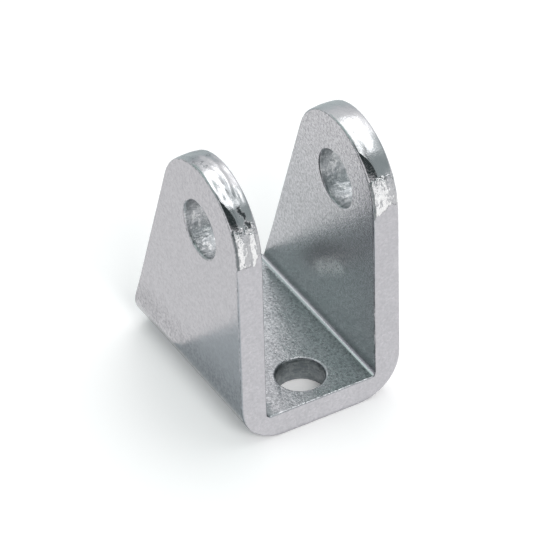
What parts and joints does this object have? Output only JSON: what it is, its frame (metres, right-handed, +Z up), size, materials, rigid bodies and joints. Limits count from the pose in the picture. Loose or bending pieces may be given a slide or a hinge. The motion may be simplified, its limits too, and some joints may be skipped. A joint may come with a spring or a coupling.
{
  "type": "rear trunnion bracket",
  "caption": "Folded plated-steel U bracket: upright ears with a round top carry a pivot pin across the gap, and the flat base is screwed down.",
  "frame": {"origin": "middle of the underside of the base", "axes": "+X along the pivot axis, from one ear to the other; +Y along the base, from the upright front edges to the sloping back edges; +Z up, away from the mounting surface"},
  "size_m": [0.024, 0.031, 0.0397],
  "materials": {
    "plated_steel": "bright plated, satin on the flat faces"
  },
  "bodies": {
    "root": {"trunnion_bracket": "plated_steel"}
  },
  "joints": []
}
